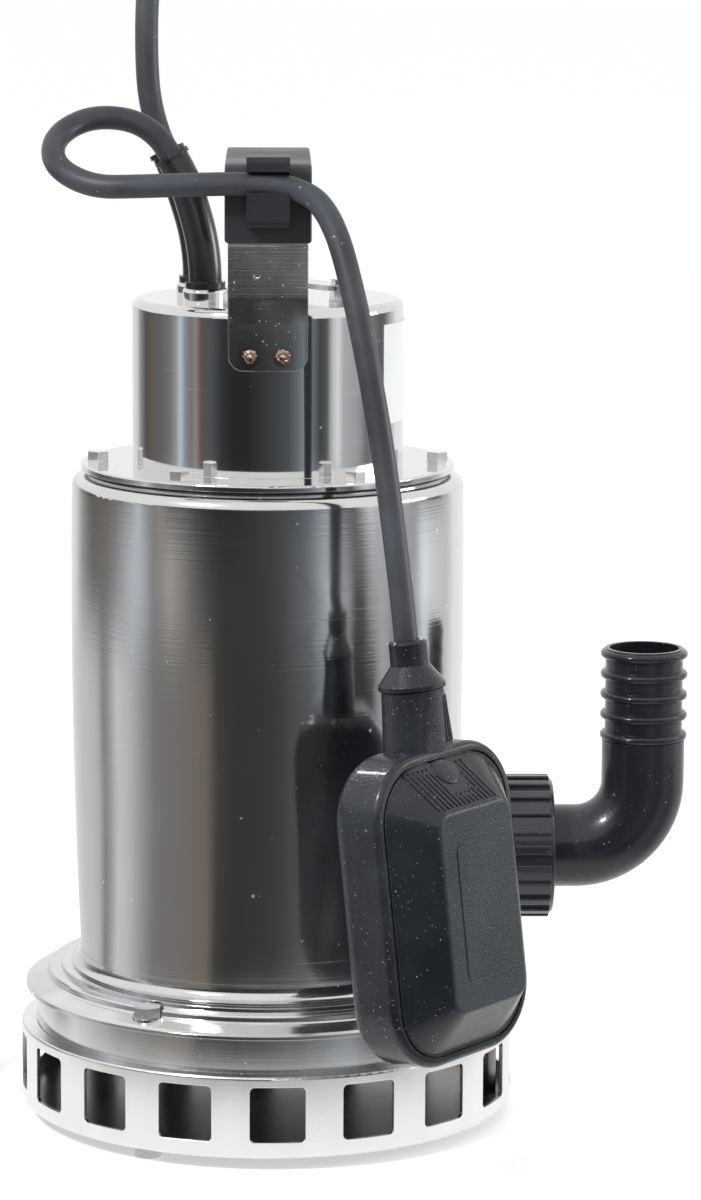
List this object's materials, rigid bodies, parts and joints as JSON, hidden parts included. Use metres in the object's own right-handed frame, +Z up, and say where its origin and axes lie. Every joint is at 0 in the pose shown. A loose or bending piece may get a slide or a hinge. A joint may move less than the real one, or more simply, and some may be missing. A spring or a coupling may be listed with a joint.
{
  "type": "submersible drainage pump",
  "caption": "Submersible stainless drainage pump with a strainer base, a side outlet elbow with a hose tail, a strap handle, a float switch and a coiled mains cable.",
  "frame": {"origin": "the pump's axis at the floor plane, in the middle of the three feet", "axes": "+Z up along the pump's axis and out of the hose tail, +X towards the outlet, -Y the front, where the float cable's clip is"},
  "size_m": [0.4529, 0.2599, 0.5175],
  "materials": {
    "stainless": "satin",
    "bright_steel": "polished",
    "turned_steel": "turned",
    "core_steel": "laminated steel, varnished",
    "cast_aluminium": "cast",
    "copper": "enamelled wire",
    "rubber": "matt",
    "cable_rubber": "matt",
    "black_plastic": "satin",
    "float_plastic": "satin gloss",
    "grey_plastic": "matt",
    "label": "blank printed film",
    "seal_ceramic": "lapped ceramic",
    "seal_carbon": "lapped carbon"
  },
  "bodies": {
    "pump": {"feet": "bright_steel", "strainer": "stainless", "strainer_posts": "turned_steel", "suction_plate": "stainless", "wear_ring": "rubber", "base_casing": "stainless", "base_bolts": "bright_steel", "diffuser": "black_plastic", "seal_housing": "cast_aluminium", "housing_oring": "rubber", "seal_seat": "seal_ceramic", "lip_seal": "rubber", "bearing_outer_races": "turned_steel", "bearing_balls": "turned_steel", "stator_core": "core_steel", "end_windings": "copper", "upper_bearing_bracket": "cast_aluminium", "motor_can": "stainless", "capacitor": "grey_plastic", "terminal_block": "grey_plastic", "outer_jacket": "stainless", "outlet_spigot": "stainless", "outlet_gasket": "rubber", "motor_cap": "bright_steel", "flange_gasket": "rubber", "flange_screws": "bright_steel", "blank_rating_label": "label", "handle_strap": "bright_steel", "handle_grip": "black_plastic", "cover_plate": "stainless", "plate_standoffs": "bright_steel", "float_cable_sleeve": "rubber", "mains_cable_sleeve": "rubber", "float_cable_root": "cable_rubber", "mains_cable": "cable_rubber", "mains_coil": "cable_rubber", "plug_body": "black_plastic", "plug_pins": "bright_steel", "plug_lead": "cable_rubber"},
    "rotor": {"shaft": "turned_steel", "impeller": "turned_steel", "impeller_nut": "turned_steel", "rotor_core": "core_steel", "bearing_inner_races": "turned_steel", "seal_face": "seal_carbon", "seal_spring": "turned_steel", "spring_collar": "turned_steel"},
    "union_nut": {"union_nut": "black_plastic"},
    "elbow": {"elbow_hose_tail": "black_plastic"},
    "float": {"float_cable_lower": "cable_rubber", "float_shell": "float_plastic", "float_cover": "float_plastic", "float_gland": "float_plastic", "switch_chassis": "grey_plastic", "microswitch": "black_plastic"},
    "float_ball": {"switch_ball": "turned_steel"},
    "lever": {"switch_lever": "grey_plastic"}
  },
  "joints": [
    {"name": "rotor_spin", "type": "hinge", "parent": "pump", "child": "rotor", "pos_m": [0, 0, 0.12], "axis": [0, 0, 1], "continuous": true},
    {"name": "union_nut_turn", "type": "hinge", "parent": "pump", "child": "union_nut", "pos_m": [0.103, 0, 0.1076], "axis": [1, 0, 0], "continuous": true},
    {"name": "elbow_swivel", "type": "hinge", "parent": "pump", "child": "elbow", "pos_m": [0.12, 0, 0.1076], "axis": [1, 0, 0], "continuous": true},
    {"name": "float_swing", "type": "hinge", "parent": "pump", "child": "float", "pos_m": [0.0136, -0.0642, 0.3795], "axis": [0, -1, 0], "range_deg": [0, 105]},
    {"name": "ball_slide", "type": "slide", "parent": "float", "child": "float_ball", "axis": [-0.1, 0.035, 0.9944], "range_m": [0, 0.024]},
    {"name": "lever_tip", "type": "hinge", "parent": "float", "child": "lever", "pos_m": [0.06389, -0.10692, 0.0792], "axis": [0.7369, -0.6689, 0.0977], "range_deg": [0, 7.4]}
  ],
  "couplings": [
    {"joint": "lever_tip", "follows": "ball_slide", "rad_per_m": 5.381}
  ]
}
